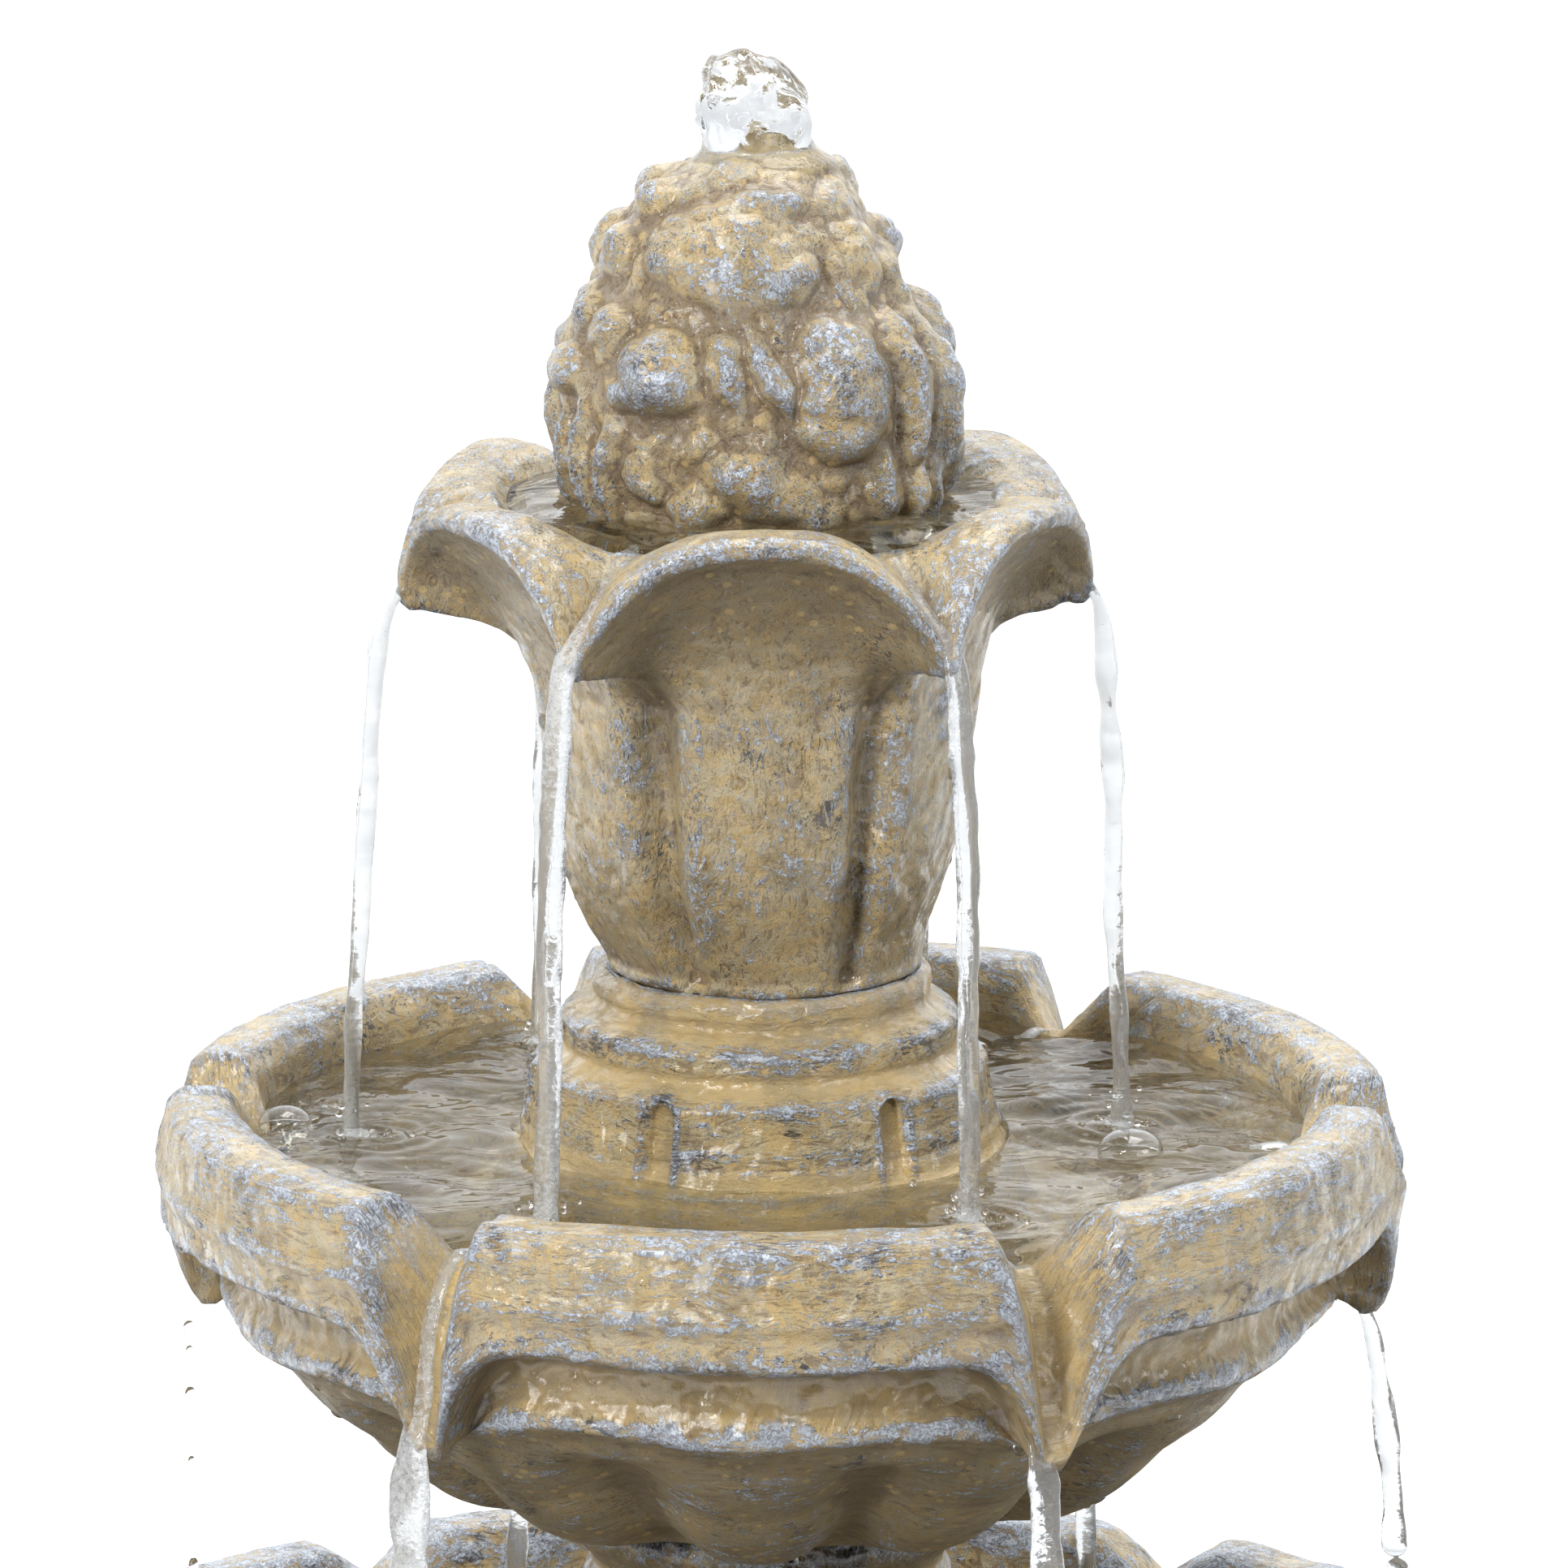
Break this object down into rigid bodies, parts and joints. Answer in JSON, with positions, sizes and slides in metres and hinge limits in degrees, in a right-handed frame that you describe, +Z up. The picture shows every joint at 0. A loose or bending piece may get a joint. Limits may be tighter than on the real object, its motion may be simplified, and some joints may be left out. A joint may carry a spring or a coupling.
{
  "type": "tiered water fountain",
  "caption": "Tiered garden fountain: pedestal, round catch basin, lobed middle basin with spouts, fluted urn with petal bowl, leafy finial and a submersible pump.",
  "frame": {"origin": "on the floor, under the fountain's centre line", "axes": "+Z up along the centre line; the front faces -Y and the cord's outlet faces +Y"},
  "size_m": [0.69, 0.69, 0.965],
  "materials": {
    "cast_stone": "satin",
    "black_rubber": "matte",
    "pump_plastic": "matte",
    "cap_plastic": "satin",
    "impeller_plastic": "satin",
    "nozzle_brass": "satin",
    "clear_tube": "gloss",
    "foam": "matte",
    "iron": "satin",
    "copper": "gloss",
    "ferrite": "satin",
    "ceramic": "satin",
    "steel": "satin"
  },
  "bodies": {
    "base": {"base_pedestal": "cast_stone", "foot_pads": "black_rubber"},
    "catch_basin": {"lower_basin": "cast_stone", "cord_grommet": "black_rubber", "pump_body": "pump_plastic", "stator_core": "iron", "stator_coil": "copper", "back_cap": "pump_plastic", "cap_screws": "steel", "impeller_cover": "pump_plastic", "cover_seal": "black_rubber", "front_bush": "ceramic", "rear_bush": "ceramic", "impeller_shaft": "ceramic", "outlet_adapter": "cap_plastic", "hose_clamp": "steel", "clamp_screw": "steel", "suction_cups": "black_rubber", "riser_tube": "clear_tube"},
    "stopper": {"drain_plug": "black_rubber"},
    "shaft": {"column": "cast_stone"},
    "middle_tier": {"middle_basin": "cast_stone", "middle_grommet": "black_rubber"},
    "top_tier": {"upper_plinth": "cast_stone", "urn": "cast_stone", "urn_grommet": "black_rubber"},
    "crown": {"finial": "cast_stone", "nozzle": "nozzle_brass"},
    "pump_cap": {"intake_cover": "cap_plastic", "filter_foam": "foam"},
    "dial": {"flow_dial": "cap_plastic"},
    "rotor": {"impeller_wheel": "impeller_plastic", "rotor_magnet": "ferrite"}
  },
  "joints": [
    {"name": "lower_basin_lift", "type": "slide", "parent": "base", "child": "catch_basin", "axis": [0, 0, 1], "range_m": [0, 0.1]},
    {"name": "drain_plug_lift", "type": "slide", "parent": "catch_basin", "child": "stopper", "axis": [0, 0, 1], "range_m": [0, 0.04]},
    {"name": "column_lift", "type": "slide", "parent": "catch_basin", "child": "shaft", "axis": [0, 0, 1], "range_m": [0, 0.15]},
    {"name": "middle_basin_lift", "type": "slide", "parent": "shaft", "child": "middle_tier", "axis": [0, 0, 1], "range_m": [0, 0.12]},
    {"name": "urn_lift", "type": "slide", "parent": "middle_tier", "child": "top_tier", "axis": [0, 0, 1], "range_m": [0, 0.12]},
    {"name": "finial_lift", "type": "slide", "parent": "top_tier", "child": "crown", "axis": [0, 0, 1], "range_m": [0, 0.15]},
    {"name": "intake_cover_pull", "type": "slide", "parent": "catch_basin", "child": "pump_cap", "axis": [0, -1, 0], "range_m": [0, 0.03]},
    {"name": "flow_dial_turn", "type": "hinge", "parent": "pump_cap", "child": "dial", "pos_m": [0, -0.0352, 0.262], "axis": [0, 1, 0], "range_deg": [0, 60]},
    {"name": "impeller_spin", "type": "hinge", "parent": "catch_basin", "child": "rotor", "pos_m": [0, 0, 0.262], "axis": [0, 1, 0], "continuous": true}
  ]
}
